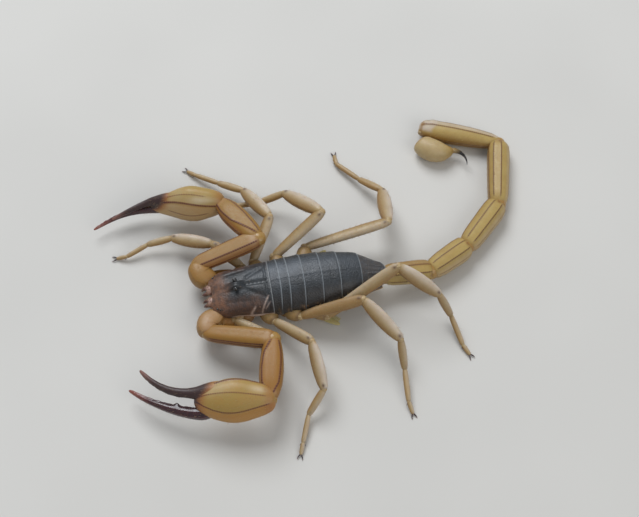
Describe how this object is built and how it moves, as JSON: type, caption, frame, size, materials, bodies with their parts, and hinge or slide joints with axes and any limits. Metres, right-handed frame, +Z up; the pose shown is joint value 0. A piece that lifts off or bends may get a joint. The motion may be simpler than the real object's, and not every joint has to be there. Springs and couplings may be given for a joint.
{
  "type": "desert scorpion",
  "caption": "Life-size desert scorpion standing on its legs, pincers held forward and tail curled on its side on the ground.",
  "frame": {"origin": "on the ground, under the centre of the animal's bounding box", "axes": "+X from the head towards the tail along the trunk, +Y to the animal's right side, +Z up from the ground"},
  "size_m": [0.0824, 0.0628, 0.012],
  "materials": {
    "slate_cuticle": "glossy slate-grey horny plate",
    "belly_cuticle": "satin brownish-yellow horny plate",
    "straw_cuticle": "satin straw-yellow horny shell",
    "amber_cuticle": "semi-gloss amber horny shell",
    "mahogany_cuticle": "glossy dark red-brown horn",
    "eye_lens": "glossy black lens",
    "comb_cuticle": "satin pale yellow horny comb"
  },
  "bodies": {
    "root": {"aculeus": "mahogany_cuticle", "carapace": "slate_cuticle", "chelicera_left": "amber_cuticle", "chelicera_right": "amber_cuticle", "eye_left": "eye_lens", "eye_right": "eye_lens", "leg_1_femur_left": "straw_cuticle", "leg_1_femur_right": "straw_cuticle", "leg_1_foot_left": "straw_cuticle", "leg_1_foot_right": "straw_cuticle", "leg_1_patella_left": "straw_cuticle", "leg_1_patella_right": "straw_cuticle", "leg_2_femur_left": "straw_cuticle", "leg_2_femur_right": "straw_cuticle", "leg_2_foot_left": "straw_cuticle", "leg_2_foot_right": "straw_cuticle", "leg_2_patella_left": "straw_cuticle", "leg_2_patella_right": "straw_cuticle", "leg_3_femur_left": "straw_cuticle", "leg_3_femur_right": "straw_cuticle", "leg_3_foot_left": "straw_cuticle", "leg_3_foot_right": "straw_cuticle", "leg_3_patella_left": "straw_cuticle", "leg_3_patella_right": "straw_cuticle", "leg_4_femur_left": "straw_cuticle", "leg_4_femur_right": "straw_cuticle", "leg_4_foot_left": "straw_cuticle", "leg_4_foot_right": "straw_cuticle", "leg_4_patella_left": "straw_cuticle", "leg_4_patella_right": "straw_cuticle", "mesosoma_1": "slate_cuticle", "mesosoma_2": "slate_cuticle", "mesosoma_3": "slate_cuticle", "mesosoma_4": "slate_cuticle", "mesosoma_5": "slate_cuticle", "mesosoma_6": "slate_cuticle", "mesosoma_7": "slate_cuticle", "metasoma_1": "amber_cuticle", "metasoma_2": "amber_cuticle", "metasoma_3": "amber_cuticle", "metasoma_4": "amber_cuticle", "metasoma_5": "amber_cuticle", "pecten_left": "comb_cuticle", "pecten_right": "comb_cuticle", "pedipalp_femur_left": "amber_cuticle", "pedipalp_femur_right": "amber_cuticle", "pedipalp_finger_left": "mahogany_cuticle", "pedipalp_finger_right": "mahogany_cuticle", "pedipalp_palm_left": "amber_cuticle", "pedipalp_palm_right": "amber_cuticle", "pedipalp_patella_left": "amber_cuticle", "pedipalp_patella_right": "amber_cuticle", "pedipalp_trochanter_left": "amber_cuticle", "pedipalp_trochanter_right": "amber_cuticle", "prosoma_underside": "belly_cuticle", "vesicle": "amber_cuticle"}
  },
  "joints": []
}
